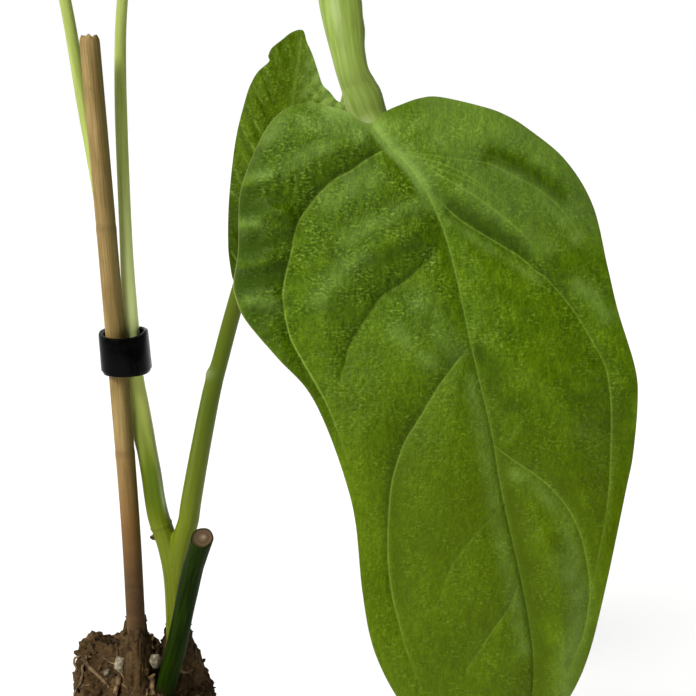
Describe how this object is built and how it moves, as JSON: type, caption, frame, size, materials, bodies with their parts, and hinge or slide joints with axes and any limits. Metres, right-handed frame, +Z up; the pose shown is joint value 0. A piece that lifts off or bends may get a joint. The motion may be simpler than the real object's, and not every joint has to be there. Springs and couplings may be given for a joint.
{
  "type": "potted climbing monstera",
  "caption": "Young climbing aroid with heart-shaped, puckered leaves, a forked green shoot and a bamboo stake with a clip, in a small nursery pot.",
  "frame": {"origin": "middle of the pot's flat base", "axes": "+Z up; the front leaf's face looks along -Y; +X to the right as seen from there"},
  "size_m": [0.2022, 0.2051, 0.3015],
  "materials": {
    "pot_plastic": "moulded polypropylene, dark grey, satin",
    "growing_mix": "damp bark and peat with perlite and roots, rough",
    "bamboo": "dry split-grained bamboo, matte, stained dark near the mix",
    "clip_plastic": "black moulded plastic, glossy",
    "old_stem_skin": "dark green stem skin with a brown healed cut",
    "shoot_skin": "smooth olive-green stem skin, satin",
    "ribbed_stalk": "yellow-green stalk with pale lengthwise ridges, satin",
    "pale_stalk": "pale green stalk skin, satin",
    "leaf_blade": "leathery green leaf with impressed veins, semi-gloss",
    "young_blade": "young leathery leaf, darker olive green, semi-gloss"
  },
  "bodies": {
    "root": {"pot": "pot_plastic", "root_ball": "growing_mix", "stake": "bamboo", "stem_clip": "clip_plastic", "old_stem": "old_stem_skin", "shoot": "shoot_skin", "petiole_front": "ribbed_stalk", "petiole_back": "ribbed_stalk", "petiole_upper_left": "pale_stalk", "petiole_upper_centre": "pale_stalk", "leaf_front": "leaf_blade", "leaf_back": "young_blade", "leaf_upper_left": "leaf_blade", "leaf_upper_centre": "leaf_blade"}
  },
  "joints": []
}
